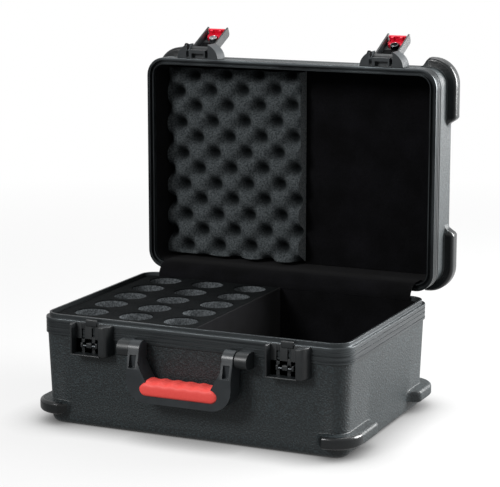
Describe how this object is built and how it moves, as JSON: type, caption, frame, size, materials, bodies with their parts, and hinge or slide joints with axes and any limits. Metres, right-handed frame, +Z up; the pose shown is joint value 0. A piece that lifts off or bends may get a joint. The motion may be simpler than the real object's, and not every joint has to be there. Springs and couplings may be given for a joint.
{
  "type": "microphone case",
  "caption": "Hard moulded microphone case, open: hinged lid, foam block with round holes, plush compartment, drop handle and two locking latches.",
  "frame": {"origin": "middle of the base's flat underside", "axes": "+X to the right seen from the front, -Y out of the front with the handle, +Z up"},
  "size_m": [0.492, 0.4576, 0.5355],
  "materials": {
    "polyethylene": "pebbled, moulded in colour",
    "anodised": "black anodised, brushed along its length",
    "nylon": "satin",
    "steel": "plated, satin",
    "plush": "black velvet plush",
    "foam": "open-cell foam, fine grain",
    "red_plastic": "semi-gloss",
    "black_plastic": "satin"
  },
  "bodies": {
    "base": {"base_shell": "polyethylene", "base_valance": "anodised", "base_lining": "plush", "foam_insert": "foam", "foam_floor_pad": "foam", "divider_panel": "plush", "compartment_pad": "plush", "hinge_cover": "plush", "keeper_left": "nylon", "keeper_pin_left": "steel", "handle_bracket_left": "nylon", "handle_pin_left": "steel", "hinge_base_leaf_left": "steel", "hinge_pin_left": "steel", "hinge_base_leaf_left_rivet_1": "steel", "hinge_base_leaf_left_rivet_2": "steel", "keeper_right": "nylon", "keeper_pin_right": "steel", "handle_bracket_right": "nylon", "handle_pin_right": "steel", "hinge_base_leaf_right": "steel", "hinge_pin_right": "steel", "hinge_base_leaf_right_rivet_1": "steel", "hinge_base_leaf_right_rivet_2": "steel"},
    "lid": {"lid_shell": "polyethylene", "lid_valance": "anodised", "lid_lining": "plush", "lid_foam": "foam", "lid_pad": "plush", "hinge_lid_leaf_left": "steel", "latch_housing_left": "nylon", "latch_pin_left": "steel", "latch_cam_left": "black_plastic", "hinge_lid_leaf_left_rivet_1": "steel", "hinge_lid_leaf_left_rivet_2": "steel", "hinge_lid_leaf_right": "steel", "latch_housing_right": "nylon", "latch_pin_right": "steel", "latch_cam_right": "black_plastic", "hinge_lid_leaf_right_rivet_1": "steel", "hinge_lid_leaf_right_rivet_2": "steel"},
    "handle": {"handle_frame": "nylon", "handle_grip": "red_plastic"},
    "latch_left": {"latch_lever_left": "nylon"},
    "slide_left": {"lock_slide_left": "red_plastic"},
    "cylinder_left": {"lock_cylinder_left": "steel"},
    "latch_right": {"latch_lever_right": "nylon"},
    "slide_right": {"lock_slide_right": "red_plastic"},
    "cylinder_right": {"lock_cylinder_right": "black_plastic"}
  },
  "joints": [
    {"name": "lid_hinge", "type": "hinge", "parent": "base", "child": "lid", "pos_m": [0, 0.17375, 0.1541], "axis": [1, 0, 0], "range_deg": [0, 90], "deforming": ["hinge_cover"]},
    {"name": "handle_pivot", "type": "hinge", "parent": "base", "child": "handle", "pos_m": [0, -0.17775, 0.127], "axis": [-1, 0, 0], "range_deg": [0, 90]},
    {"name": "latch_left_pivot", "type": "hinge", "parent": "lid", "child": "latch_left", "pos_m": [-0.15, 0.19495, 0.50205], "axis": [1, 0, 0], "range_deg": [0, 155]},
    {"name": "slide_left_press", "type": "slide", "parent": "latch_left", "child": "slide_left", "axis": [0, 0.9063, 0.4226], "range_m": [0, 0.0035], "stiffness_N_per_m": 400},
    {"name": "lock_left_turn", "type": "hinge", "parent": "latch_left", "child": "cylinder_left", "pos_m": [-0.15, 0.23581, 0.51333], "axis": [0, 0.4226, -0.9063], "range_deg": [0, 90]},
    {"name": "latch_right_pivot", "type": "hinge", "parent": "lid", "child": "latch_right", "pos_m": [0.148, 0.19495, 0.50205], "axis": [1, 0, 0], "range_deg": [0, 155]},
    {"name": "slide_right_press", "type": "slide", "parent": "latch_right", "child": "slide_right", "axis": [0, 0.9063, 0.4226], "range_m": [0, 0.0035], "stiffness_N_per_m": 400},
    {"name": "lock_right_turn", "type": "hinge", "parent": "latch_right", "child": "cylinder_right", "pos_m": [0.148, 0.23581, 0.51333], "axis": [0, 0.4226, -0.9063], "range_deg": [0, 90]}
  ]
}
